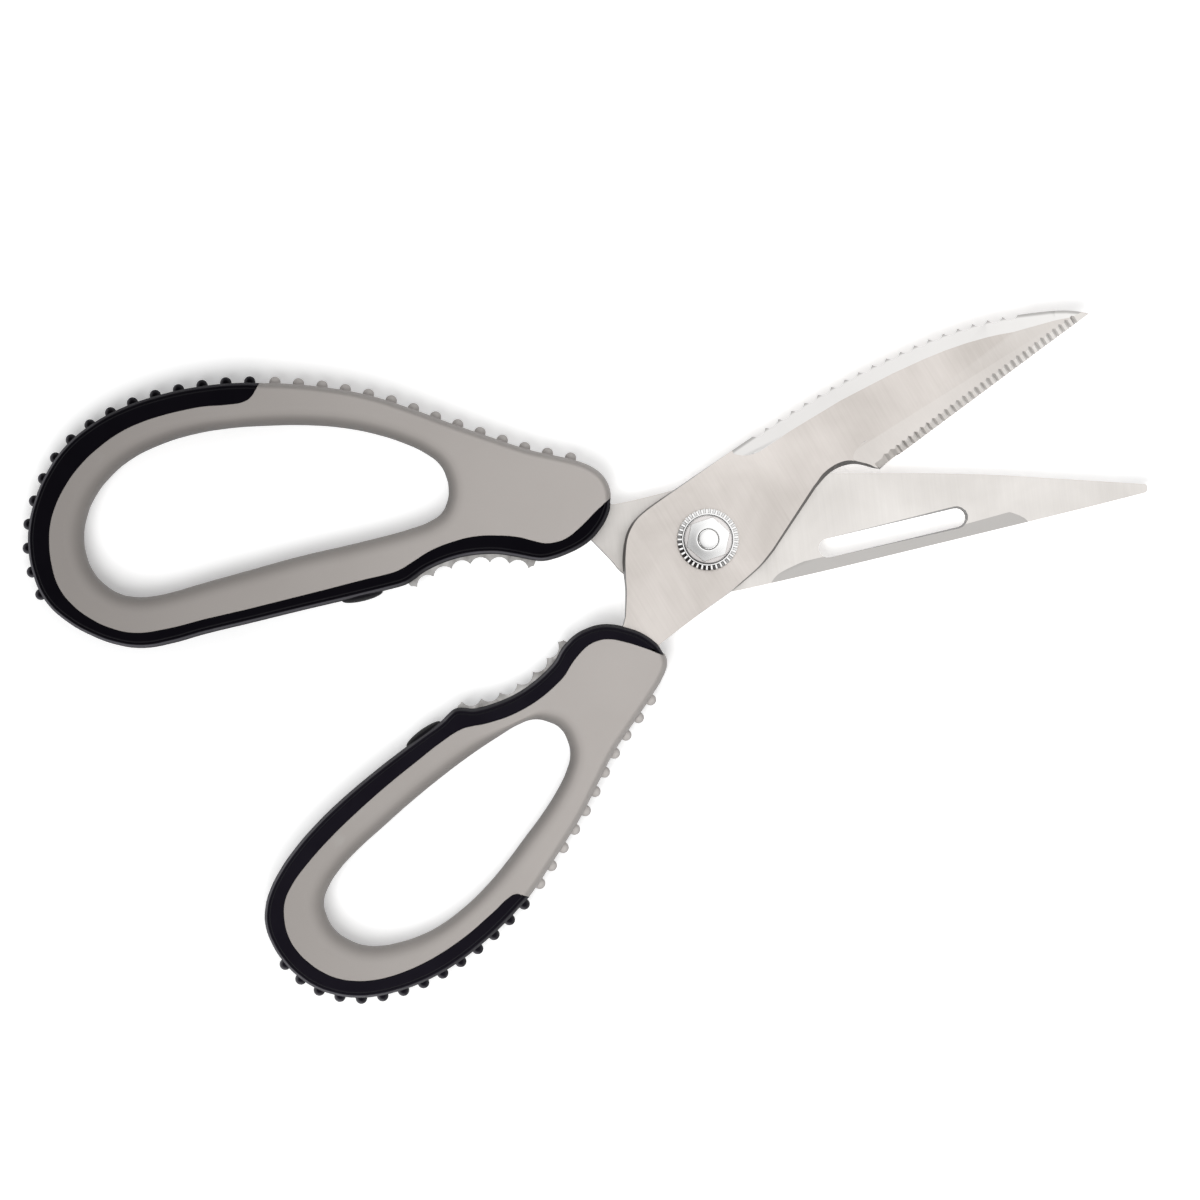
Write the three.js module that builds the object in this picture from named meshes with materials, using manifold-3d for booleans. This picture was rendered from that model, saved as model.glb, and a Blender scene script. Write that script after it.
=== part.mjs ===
import * as THREE from "three";
import { mergeVertices } from "three/addons/utils/BufferGeometryUtils.js";
import Module from "manifold-3d";

const wasm = await Module();
wasm.setup();

// Game shears, in millimetres. The pivot axis is Z and the rear faces of the handles lie on Z = 0.
// Each half is drawn in its own frame, with the pivot at the origin and its blade tip on +X,
// and is then turned to where it stands half open.

// Stance of each half from +X, in degrees
const SLOTTED_STANCE = 6.75;
const SERRATED_STANCE = 30.8;

// Fits
const RUN_GAP = 0.15; // between faces that slide on each other
const PIVOT_GAP = 0.08; // round the shank of the bolt
const SEAT_GAP = 0.2; // between pieces that are fixed together

// Blades
const BLADE_LENGTH = 88.8; // from the pivot to the tip
const BLADE_THICKNESS = 2.5;
const EDGE_THICKNESS = 0.3; // what the grinding leaves at a cutting edge
const SPINE_BEVEL_WIDTH = 3.3;
const SPINE_BEVEL_DROP = 1.0;
const GRIND_WIDTH = 6.0;
const GRIND_DROP = 0.8;
const EDGE_BEVEL_WIDTH = 1.5;
const SCALER_PITCH = 3.1;
const SCALER_DEPTH = 0.8;
const SCALER_COUNT = 19;
const SERRATION_PITCH = 1.5;
const SERRATION_RADIUS = 0.5;
const SERRATION_DEPTH = 0.3;
const SERRATION_START = 2.4; // plain edge before the first one and after the last
const SLOT_LENGTH = 30.2;
const SLOT_WIDTH = 3.8;
const SLOT_CENTRE = [36.8, -3.0];
const SLOT_TILT = 6.6;
const FACET_WIDTH = 2.8;
const FACET_DROP = 0.9;
const HOLLOW_WIDTH = 3.2; // grinding on the rear of the slotted blade
const PEG_DIAMETER = 3.2; // pegs of the handle through the tang

// Pivot
const SHANK_DIAMETER = 6;
const THREAD_DIAMETER = 5;
const THREAD_CHAMFER = 0.5;
const KEY_WIDTH = 6.2;
const HEAD_DIAMETER = 12;
const WASHER_DIAMETER = 12.4;
const WASHER_THICKNESS = 1.5;
const WASHER_TEETH = 37;
const WASHER_TOOTH = 0.85;
const DISH_DIAMETER = 10;
const WEB_THICKNESS = 0.6;
const SPRING_THICKNESS = 0.45;
const SPRING_RISE = 0.35;
const NUT_FLATS = 8;
const NUT_HEIGHT = 3.2;
const NUT_CONE = 1.4; // height of the cone on its top
const THREAD_PROUD = 0.7;

// Handles
const HANDLE_THICKNESS = 12;
const SIDE_BULGE = 1.4; // how far the side stands out from the rim of the face
const SIDE_DEPTH = 5;
const FINGER_ROUND = 1.9; // rounding of the opening
const TRIM_SKIN = 1.7; // soft trim on the side of the core
const TRIM_LIP = 1.4; // soft trim on the faces of the core
const FINGER_BAND = 3.6; // width of the trim behind the finger jaw
const THUMB_BAND = 3.4; // width of the trim behind the thumb jaw
const NUB_DIAMETER = 2.3;
const NUB_HEIGHT = 1.3;

// Jaws and stops
const JAW_RADIUS = 26;
const JAW_PROUD = 1.7;
const JAW_ROOT = 4;
const JAW_THICKNESS = 2.2;
const JAW_PITCH = 3.9;
const JAW_GULLETS = 6;
const JAW_TOOTH = 1.2;
const BUMPER_DIAMETER = 9;
const BUMPER_HEIGHT = 1.0;
const BUMPER_FLANGE = 0.9;
const BUMPER_STEM = 4;
const BUMPER_STEM_LENGTH = 3.2;

// Levels along the pivot axis
const middle = HANDLE_THICKNESS / 2;
const slottedTop = middle - RUN_GAP / 2;
const slottedBottom = slottedTop - BLADE_THICKNESS;
const serratedBottom = middle + RUN_GAP / 2;
const serratedTop = serratedBottom + BLADE_THICKNESS;
const washerBottom = serratedTop + RUN_GAP;
const springBottom = washerBottom + WEB_THICKNESS + RUN_GAP;
const nutBottom = springBottom + SPRING_THICKNESS + SPRING_RISE + RUN_GAP;
const nutTop = nutBottom + NUT_HEIGHT;

// Solids

function solid(geometry) {
  geometry.deleteAttribute("normal");
  geometry.deleteAttribute("uv");
  const merged = mergeVertices(geometry, 1e-4);
  const corners = merged.index.array;
  const triangles = [];
  for (let i = 0; i < corners.length; i += 3) {
    const [a, b, c] = corners.slice(i, i + 3);
    if (a !== b && b !== c && c !== a) triangles.push(a, b, c);
  }
  const made = new wasm.Manifold(
    new wasm.Mesh({
      numProp: 3,
      vertProperties: merged.attributes.position.array,
      triVerts: new Uint32Array(triangles),
    }),
  );
  return made;
}

function joined(solids) {
  return solids.reduce((whole, next) => whole.add(next));
}

function without(body, cutters) {
  return cutters.reduce((left, cutter) => left.subtract(cutter), body);
}

// A flat plate of a shape, grown by a margin on every side
function plate(shape, bottom, thickness, margin = 0) {
  const geometry = new THREE.ExtrudeGeometry(shape, {
    depth: thickness,
    bevelEnabled: margin > 0,
    bevelThickness: margin,
    bevelSize: 0,
    bevelOffset: margin,
    bevelSegments: 1,
    curveSegments: 4,
  });
  geometry.translate(0, 0, bottom);
  return solid(geometry);
}

// A moulded slab whose side swells from the rim of each face to the given outline
function moulded(shape, bottom, thickness, bulge, depth, segments) {
  const geometry = new THREE.ExtrudeGeometry(shape, {
    depth: thickness - 2 * depth,
    bevelThickness: depth,
    bevelSize: bulge,
    bevelOffset: -bulge,
    bevelSegments: segments,
  });
  geometry.translate(0, 0, bottom + depth);
  return solid(geometry);
}

// A turned piece about the vertical axis, from points of radius and height
function turned(profile, sides) {
  const points = profile.map(([radius, height]) => new THREE.Vector2(radius, height));
  const geometry = new THREE.LatheGeometry(points, sides);
  geometry.rotateX(Math.PI / 2);
  return solid(geometry);
}

// A section of points to the left of a path and above it, carried along the path
function swept(section, path, steps) {
  const shape = new THREE.Shape(section.map(([left, up]) => new THREE.Vector2(-up, left)));
  return solid(new THREE.ExtrudeGeometry(shape, { steps, extrudePath: path, bevelEnabled: false }));
}

function post(diameter, bottom, top, [x, y], sides = 12) {
  const geometry = new THREE.CylinderGeometry(diameter / 2, diameter / 2, top - bottom, sides);
  geometry.rotateX(Math.PI / 2);
  geometry.translate(x, y, (bottom + top) / 2);
  return solid(geometry);
}

// Curves

const flat = ([x, y]) => new THREE.Vector2(x, y);
const level = (z) => ([x, y]) => new THREE.Vector3(x, y, z);
const loop = (points) => new THREE.CatmullRomCurve3(points.map(level(0)), true, "centripetal");
const open = (points, z = 0) => new THREE.CatmullRomCurve3(points.map(level(z)), false, "centripetal");
const shapeOf = (points) => new THREE.Shape(points.map(flat));
const curveOn = (shape, points) => shape.splineThru(points.map(flat));

function sampled(curve, perSpan) {
  const spans = curve.points.length - (curve.closed ? 0 : 1);
  const points = curve.getPoints(spans * perSpan).map(({ x, y }) => [x, y]);
  if (curve.closed) points.pop();
  return points;
}

function onArc([x, y], radius, degrees) {
  const angle = THREE.MathUtils.degToRad(degrees);
  return [x + radius * Math.cos(angle), y + radius * Math.sin(angle)];
}

// Points moved to the left of their line by a distance
function offsetLine(points, distance) {
  return points.map(([x, y], i) => {
    const [ax, ay] = points[Math.max(i - 1, 0)];
    const [bx, by] = points[Math.min(i + 1, points.length - 1)];
    const run = Math.hypot(bx - ax, by - ay);
    return [x - (distance * (by - ay)) / run, y + (distance * (bx - ax)) / run];
  });
}

// Points of a closed outline moved out of it by a distance
function offsetLoop(points, distance) {
  const count = points.length;
  return points.map(([x, y], i) => {
    const [ax, ay] = points[(i + count - 1) % count];
    const [bx, by] = points[(i + 1) % count];
    const run = Math.hypot(bx - ax, by - ay);
    return [x + (distance * (by - ay)) / run, y - (distance * (bx - ax)) / run];
  });
}

// Place on an outline at a distance along it, with the direction that points out of the material
function stationOn(curve, distance) {
  const share = distance / curve.getLength();
  const point = curve.getPointAt(share);
  const tangent = curve.getTangentAt(share);
  return { point, outward: new THREE.Vector3(tangent.y, -tangent.x, 0) };
}

// Moves a solid made about the vertical axis onto a station of an outline, its top outward
function standing(geometry, { point, outward }) {
  const turn = new THREE.Quaternion().setFromUnitVectors(new THREE.Vector3(0, 1, 0), outward);
  geometry.applyQuaternion(turn);
  geometry.translate(point.x, point.y, middle);
  return solid(geometry);
}

// Serrated blade: spine with scaling teeth, bone notch, serrated cutting edge

// Points of share of the length and height
const alongBlade = (points) => points.map(([share, y]) => [share * BLADE_LENGTH, y]);
const bladeTip = [BLADE_LENGTH, -0.2];
const bladeBeyond = BLADE_LENGTH + 9;
const edgeHeel = [36.8, -5.5];
const spineLine = [
  [6.3, 12.4],
  ...alongBlade([[0.18, 13], [0.315, 13.6], [0.45, 13.5], [0.574, 12.7]]),
  ...alongBlade([[0.691, 11.3], [0.795, 9.0], [0.892, 5.6], [0.957, 2.7]]),
  bladeTip,
];

const serratedOutline = new THREE.Shape();
serratedOutline.moveTo(...bladeTip);
serratedOutline.lineTo(...edgeHeel);
curveOn(serratedOutline, [[35.7, -4.6], [33.2, -2.2], [30.4, -1.1], [27.3, -1.1], [23.8, -2.2]]);
serratedOutline.lineTo(10.2, -8.7);
curveOn(serratedOutline, [[6.1, -10.1], [-1, -11.3], [-10.7, -12.1], [-18.8, -13.1]]);
curveOn(serratedOutline, [[-27, -16], [-38, -17.4], [-40.3, -14.8], [-38, -12], [-28, -8.6]]);
curveOn(serratedOutline, [[-24.6, -6.9], [-22.2, -4.8]]);
curveOn(serratedOutline, [[-19.3, 0], [-16.7, 5.4], [-13, 9.7], [-8.6, 11.4], [-1, 12]]);
curveOn(serratedOutline, spineLine);
const serratedPegs = [[-27, -12.4], [-35.6, -14.4]];

const spinePath = open(spineLine, serratedTop);
const spineBevelPlan = new THREE.Shape();
spineBevelPlan.moveTo(13.2, 18);
spineBevelPlan.lineTo(13.2, 12);
curveOn(spineBevelPlan, [[15.4, 10.4], [19.4, 9.4], [24, 8]]);
spineBevelPlan.lineTo(bladeBeyond, -8);
spineBevelPlan.lineTo(bladeBeyond, 18);

const edgePath = new THREE.LineCurve3(level(serratedTop)(edgeHeel), level(serratedTop)(bladeTip));
const edgeLength = edgePath.getLength();
const edgeAngle = Math.atan2(bladeTip[1] - edgeHeel[1], bladeTip[0] - edgeHeel[0]);
const edgeRun = edgePath.getTangent(0);
const grindPath = new THREE.LineCurve3(
  edgePath.v1.clone().addScaledVector(edgeRun, -12),
  edgePath.v2.clone().addScaledVector(edgeRun, 6),
);

const grindPlan = new THREE.Shape();
grindPlan.moveTo(33, -9);
curveOn(grindPlan, [[33.5, -1.6], [37, 0.4], [42, 1.6], [48, 3]]);
grindPlan.lineTo(bladeBeyond, 12);
grindPlan.lineTo(bladeBeyond, -9);

// Wedge that takes a drop off the top of a plate, from nothing at the width to all of it at the path
const wedge = (width, drop) => [
  [width, 0],
  [width, 2],
  [-2, 2],
  [-2, (-drop * (width + 2)) / width],
];

const edgeTopDrop = GRIND_DROP * (1 - EDGE_BEVEL_WIDTH / GRIND_WIDTH);
const edgeDrop = BLADE_THICKNESS - EDGE_THICKNESS;
const edgeSlope = (edgeDrop - edgeTopDrop) / EDGE_BEVEL_WIDTH;
const edgeSection = [
  [EDGE_BEVEL_WIDTH, -edgeTopDrop],
  [EDGE_BEVEL_WIDTH, 2],
  [-1, 2],
  [-1, -edgeDrop - edgeSlope],
];

function scalerGullets() {
  const radius = (SCALER_DEPTH ** 2 + (SCALER_PITCH / 2) ** 2) / (2 * SCALER_DEPTH);
  const start = 13.5;
  const cutters = [];
  for (let i = 0; i < SCALER_COUNT; i++) {
    const { point, outward } = stationOn(spinePath, start + i * SCALER_PITCH);
    const centre = point.clone().addScaledVector(outward, SCALER_DEPTH - radius);
    cutters.push(post(2 * radius, serratedBottom - 1, serratedTop + 1, [centre.x, centre.y], 14));
  }
  return cutters;
}

function edgeSerrations() {
  const count = Math.floor((edgeLength - 2 * SERRATION_START) / SERRATION_PITCH) + 1;
  const slopeAngle = Math.atan(edgeSlope);
  const lift = SERRATION_RADIUS - SERRATION_DEPTH;
  const cutters = [];
  for (let i = 0; i < count; i++) {
    const at = edgePath.getPointAt((SERRATION_START + i * SERRATION_PITCH) / edgeLength);
    const geometry = new THREE.CylinderGeometry(SERRATION_RADIUS, SERRATION_RADIUS, 8, 6);
    geometry.translate(0, 0, lift);
    geometry.rotateX(slopeAngle);
    geometry.rotateZ(edgeAngle);
    geometry.translate(at.x, at.y, at.z - edgeDrop);
    cutters.push(solid(geometry));
  }
  return cutters;
}

const spineBevel = swept(
  wedge(SPINE_BEVEL_WIDTH, SPINE_BEVEL_DROP).map(([left, up]) => [-left, up]),
  spinePath,
  36,
).intersect(plate(spineBevelPlan, 0, 2 * HANDLE_THICKNESS));
const grind = swept(wedge(GRIND_WIDTH, GRIND_DROP), grindPath, 1)
  .intersect(plate(grindPlan, 0, 2 * HANDLE_THICKNESS));
const edgeBevel = swept(edgeSection, edgePath, 1);

const serratedBlade = without(plate(serratedOutline, serratedBottom, BLADE_THICKNESS), [
  spineBevel,
  grind,
  edgeBevel,
  post(SHANK_DIAMETER + 2 * PIVOT_GAP, 0, nutTop, [0, 0], 36),
  ...serratedPegs.map((at) => post(PEG_DIAMETER, 0, nutTop, at)),
  ...scalerGullets(),
  ...edgeSerrations(),
]);

// Slotted blade: long slot, ground facet along the spine, edge ground from the rear

const slottedEdge = [
  ...alongBlade([[0.999, 0.7], [0.841, 3.3], [0.677, 5.9], [0.515, 8.0], [0.338, 9.9]]),
  [14, 11.7],
];
const slottedSpine = [
  [5.2, -10.8],
  ...alongBlade([[0.251, -9.0], [0.564, -5.7], [0.833, -2.8], [0.997, -0.9]]),
];

const slottedOutline = new THREE.Shape();
slottedOutline.moveTo(...slottedEdge[0]);
curveOn(slottedOutline, slottedEdge.slice(1));
curveOn(slottedOutline, [[4, 12], [-6.2, 10.6], [-14, 9.6], [-18.1, 9.3]]);
curveOn(slottedOutline, [[-26, 12.2], [-43, 17.2], [-46, 14.6], [-43.6, 11], [-30, 7.4], [-24, 3.6]]);
curveOn(slottedOutline, [[-20, -1.6], [-17.7, -4.8], [-12.5, -8.8], [-4, -10.9], slottedSpine[0]]);
curveOn(slottedOutline, slottedSpine.slice(1));
const slottedPegs = [[-28.5, 9.6], [-40, 13]];

const slot = new THREE.Shape();
const slotReach = (SLOT_LENGTH - SLOT_WIDTH) / 2;
slot.absarc(slotReach, 0, SLOT_WIDTH / 2, -Math.PI / 2, Math.PI / 2);
slot.absarc(-slotReach, 0, SLOT_WIDTH / 2, Math.PI / 2, (3 * Math.PI) / 2);
const slotCutter = plate(slot, 0, HANDLE_THICKNESS)
  .rotate([0, 0, SLOT_TILT])
  .translate([...SLOT_CENTRE, 0]);

const facetPlan = new THREE.Shape();
facetPlan.moveTo(11.5, -14);
facetPlan.lineTo(11.7, -9.9);
curveOn(facetPlan, [[13.1, -8.6], [16, -7.4], [22, -5.6]]);
curveOn(facetPlan, alongBlade([[0.45, -2.7], [0.642, -0.4], [0.68, -1.5], [0.713, -3.1], [0.728, -5]]));
facetPlan.lineTo(0.728 * BLADE_LENGTH, -14);
const facetPath = open(slottedSpine, slottedTop);
const facet = swept(wedge(FACET_WIDTH, FACET_DROP), facetPath, 10)
  .intersect(plate(facetPlan, 0, HANDLE_THICKNESS));

const hollowPlan = new THREE.Shape();
hollowPlan.moveTo(15, 16);
curveOn(hollowPlan, [[15.6, 11], [17.4, 8.6], [21, 7.2]]);
hollowPlan.lineTo(bladeBeyond, -16);
hollowPlan.lineTo(bladeBeyond, 16);
const hollowPath = open([[BLADE_LENGTH + 5.8, -0.4], ...slottedEdge], slottedBottom);
const hollow = swept(
  wedge(HOLLOW_WIDTH, edgeDrop).map(([left, up]) => [left, -up]),
  hollowPath,
  14,
).intersect(plate(hollowPlan, 0, HANDLE_THICKNESS));

const keyCorner = KEY_WIDTH / Math.SQRT2;
const keyShape = shapeOf([45, 135, 225, 315].map((degrees) => onArc([0, 0], keyCorner, degrees)));
const slottedBlade = without(plate(slottedOutline, slottedBottom, BLADE_THICKNESS), [
  slotCutter,
  facet,
  hollow,
  plate(keyShape, 0, HANDLE_THICKNESS, SEAT_GAP),
  ...slottedPegs.map((at) => post(PEG_DIAMETER, 0, HANDLE_THICKNESS, at)),
]);

// Pivot: bolt with a flat resting face, toothed washer, coned spring, nut

const headRadius = HEAD_DIAMETER / 2;
const headTop = slottedBottom - SEAT_GAP;
const threadRadius = THREAD_DIAMETER / 2;
const threadTop = nutTop + THREAD_PROUD;
const pivotBolt = turned([
  [0, 0],
  [headRadius - 1.6, 0],
  [headRadius - 0.6, 0.4],
  [headRadius, 1.4],
  [headRadius, headTop],
  [SHANK_DIAMETER / 2, headTop],
  [SHANK_DIAMETER / 2, serratedTop - 0.3],
  [threadRadius, serratedTop],
  [threadRadius, threadTop - THREAD_CHAMFER - 0.2],
  [threadRadius - THREAD_CHAMFER, threadTop - 0.2],
  [threadRadius / 2, threadTop - 0.05],
  [0, threadTop],
], 28).add(plate(keyShape, headTop - 0.5, slottedTop - headTop + 0.5));

const washerRadius = WASHER_DIAMETER / 2;
const washerRim = [];
for (let i = 0; i < WASHER_TEETH; i++) {
  const step = 360 / WASHER_TEETH;
  washerRim.push(onArc([0, 0], washerRadius - WASHER_TOOTH, i * step));
  washerRim.push(onArc([0, 0], washerRadius, (i + 0.32) * step));
  washerRim.push(onArc([0, 0], washerRadius, (i + 0.68) * step));
}
const washerBore = threadRadius + SEAT_GAP;
const dishRadius = DISH_DIAMETER / 2;
const dishFloor = dishRadius - 0.2;
const toothedWasher = without(plate(shapeOf(washerRim), washerBottom, WASHER_THICKNESS), [
  turned([
    [0, washerBottom + WEB_THICKNESS],
    [dishFloor, washerBottom + WEB_THICKNESS],
    [dishRadius, washerBottom + WASHER_THICKNESS + 0.01],
    [0, washerBottom + WASHER_THICKNESS + 0.01],
  ], 36),
  post(2 * washerBore, 0, nutTop, [0, 0], 24),
]);

const springRadius = dishFloor - SEAT_GAP;
const discSpring = turned([
  [springRadius, springBottom],
  [springRadius, springBottom + SPRING_THICKNESS],
  [washerBore, springBottom + SPRING_THICKNESS + SPRING_RISE],
  [washerBore, springBottom + SPRING_RISE],
  [springRadius, springBottom],
], 24);

const nutCorner = NUT_FLATS / 2 / Math.cos(Math.PI / 6);
const nutCorners = [12, 72, 132, 192, 252, 312];
const nutHex = shapeOf(nutCorners.map((degrees) => onArc([0, 0], nutCorner, degrees)));
const nutCone = turned([
  [0, nutBottom - 1],
  [nutCorner + 0.1, nutBottom - 1],
  [nutCorner + 0.1, nutTop - NUT_CONE],
  [threadRadius + 0.5, nutTop],
  [0, nutTop],
], 36);
const hexNut = plate(nutHex, nutBottom, NUT_HEIGHT)
  .intersect(nutCone)
  .subtract(post(THREAD_DIAMETER + 2 * SEAT_GAP, 0, nutTop + 1, [0, 0], 28));

// Jaw: a steel strip on an arc, with pointed teeth between round gullets

// Point of the arc of a jaw, at a distance along it from its seat and a depth behind it
function onJaw({ seat, facing }, along, depth) {
  const centre = onArc(seat, -JAW_RADIUS, facing);
  return onArc(centre, JAW_RADIUS + depth, facing + (along / JAW_RADIUS) * THREE.MathUtils.RAD2DEG);
}

function jawSector(jaw, margin) {
  const reach = (JAW_GULLETS / 2 + 0.45) * JAW_PITCH + margin;
  const stations = Array.from({ length: 11 }, (_, i) => reach * (i / 5 - 1));
  const back = stations.map((along) => onJaw(jaw, along, JAW_ROOT + margin));
  const front = stations.map((along) => onJaw(jaw, along, -JAW_PROUD - margin)).reverse();
  const bottom = middle - JAW_THICKNESS / 2 - margin;
  return plate(shapeOf([...back, ...front]), bottom, JAW_THICKNESS + 2 * margin);
}

function toothedJaw(jaw) {
  const radius = (JAW_TOOTH ** 2 + (JAW_PITCH / 2) ** 2) / (2 * JAW_TOOTH);
  const step = (JAW_PITCH * JAW_RADIUS) / (JAW_RADIUS - JAW_PROUD);
  const cutters = [];
  for (let i = 0; i <= JAW_GULLETS + 1; i++) {
    const at = onJaw(jaw, (i - (JAW_GULLETS + 1) / 2) * step, JAW_TOOTH - JAW_PROUD - radius);
    cutters.push(post(2 * radius, 0, HANDLE_THICKNESS, at, 20));
  }
  return without(jawSector(jaw, 0), cutters);
}

// Stop: a domed rubber button with a stem in the handle

function bumperProfile(margin) {
  const head = BUMPER_DIAMETER / 2 + margin;
  const stem = BUMPER_STEM / 2 + margin;
  const top = margin > 0 ? 4 : BUMPER_HEIGHT;
  const floor = -BUMPER_FLANGE - margin;
  const end = floor - BUMPER_STEM_LENGTH;
  const dome = [[head, 0], [head * 0.75, top * 0.45], [head * 0.4, top * 0.86]];
  const side = margin > 0 ? [[head, top]] : dome;
  return [[0, end], [stem, end], [stem, floor], [head, floor], ...side, [0, top]];
}

function bumperAt(station, margin) {
  const points = bumperProfile(margin).map(flat);
  return standing(new THREE.LatheGeometry(points, 20), station);
}

// Grip nubs: round-ended pegs in a row along the side of a handle

function nubRow(curve, { start, pitch, count }) {
  const radius = NUB_DIAMETER / 2;
  const wall = NUB_HEIGHT - radius;
  const shoulder = [radius * 0.75, wall + radius * 0.66];
  const profile = [[0, -0.9], [radius, -0.9], [radius, wall], shoulder, [0, NUB_HEIGHT]];
  const nubs = [];
  for (let i = 0; i < count; i++) {
    const station = stationOn(curve, start + i * pitch);
    nubs.push(standing(new THREE.LatheGeometry(profile.map(flat), 6), station));
  }
  return joined(nubs);
}

// Handle: hard core moulded round the tang, soft trim that wraps its rim, a stop and a jaw

function moulding({ outline, opening, trimLine, beyond, jaw, bumper, coreNubs, trimNubs, tang }) {
  const outer = loop(outline);
  const outerPoints = sampled(outer, 2);
  const frame = new THREE.Shape([[-190, -110], [40, -110], [40, 110], [-190, 110]].map(flat));
  frame.holes.push(new THREE.Path(sampled(loop(opening), 2).map(flat)));
  const bored = moulded(frame, 0, HANDLE_THICKNESS, FINGER_ROUND, SIDE_DEPTH, 3);
  const slab = moulded(shapeOf(outerPoints), 0, HANDLE_THICKNESS, SIDE_BULGE, SIDE_DEPTH, 2);
  const body = slab.intersect(bored);

  const line = sampled(open(trimLine), 2);
  const seam = offsetLine(line, SEAT_GAP);
  const trimZone = plate(shapeOf([...line, ...beyond]), -1, HANDLE_THICKNESS + 2);
  const coreZone = plate(shapeOf([...seam, ...beyond]), -1, HANDLE_THICKNESS + 2);
  const rib = (skin, lip) =>
    plate(shapeOf(offsetLoop(outerPoints, -skin)), lip, HANDLE_THICKNESS - 2 * lip);

  const station = stationOn(outer, bumper);
  const cuts = [
    plate(tang.outline, tang.bottom, BLADE_THICKNESS, SEAT_GAP),
    jawSector(jaw, SEAT_GAP),
    bumperAt(station, SEAT_GAP),
  ];
  const pegTop = tang.bottom + BLADE_THICKNESS + 1;
  const pegDiameter = PEG_DIAMETER - 2 * SEAT_GAP;
  const pegs = tang.pegs.map((at) => post(pegDiameter, tang.bottom - 1, pegTop, at));
  const trim = without(body.intersect(trimZone), [rib(TRIM_SKIN, TRIM_LIP), ...cuts]);
  const tongue = rib(TRIM_SKIN + SEAT_GAP, TRIM_LIP + SEAT_GAP).intersect(bored);
  const core = without(body.subtract(coreZone).add(tongue), cuts);
  return {
    core: joined([core, nubRow(outer, coreNubs), ...pegs]),
    trim: trim.add(nubRow(outer, trimNubs)),
    bumper: bumperAt(station, 0),
    jaw: toothedJaw(jaw),
  };
}

const fingerJaw = { seat: [-47.87, 2.37], facing: 92.8 };
const fingerArc = (distances) => distances.map((along) => onJaw(fingerJaw, along, 0));
const finger = moulding({
  outline: [
    [-18.1, 10.3], [-19.4, 15.3], [-23.4, 18.4], [-33, 21.9], [-48.4, 29.2], [-63.8, 36.6], [-80.1, 40.9],
    [-96.6, 42.4], [-113.8, 39.8], [-125.5, 33.6], [-132.6, 24], [-135.2, 14.2], [-133, 3.2],
    [-124.6, -4.7], [-114.8, -8.3], [-102.4, -7], [-82.8, -4.6], [-64.3, -2.4], [-60.6, -1.7],
    ...fingerArc([9.6, 5.1, 0.1, -5.8, -11.25]),
    [-33.3, -0.4], [-28.1, 0.5], [-23.2, 2.7], [-19.6, 6.6],
  ],
  opening: [
    [-124, 15.2], [-122.9, 8], [-118.2, 3.1], [-112, 1.8], [-102, 3.1], [-82, 6.2], [-58, 9.3],
    [-52.4, 11.5], [-50.4, 15.8], [-51.6, 21.2], [-58, 26.2], [-70, 30.8], [-85, 33], [-100, 33],
    [-113, 29.4], [-120.9, 22.8],
  ],
  trimLine: [
    [-85.4, 46], [-86, 40.7], [-88.5, 38.3], [-96.9, 38.2], [-105.3, 37.4], [-113.9, 35.1], [-123, 29.2],
    [-128.8, 21.6], [-130.7, 15], [-129.8, 5.6], [-124.6, -1], [-116, -5.1], [-102, -4.1], [-85.3, -2.1],
    [-68.7, 0.1], [-62, 1.1],
    onJaw(fingerJaw, 6.6, FINGER_BAND - 0.45),
    onJaw(fingerJaw, -1.45, FINGER_BAND),
    onJaw(fingerJaw, -9.4, FINGER_BAND + 0.25),
    [-32.4, 3], [-28.1, 3.5], [-23, 7], [-20.1, 9.3], [-14, 12.4],
  ],
  beyond: [[-14, -30], [-150, -30], [-150, 60], [-85.4, 60]],
  jaw: fingerJaw,
  bumper: 219.8,
  coreNubs: { start: 12.6, pitch: 4.72, count: 14 },
  trimNubs: { start: 79, pitch: 4.78, count: 16 },
  tang: { outline: slottedOutline, bottom: slottedBottom, pegs: slottedPegs },
});

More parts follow.
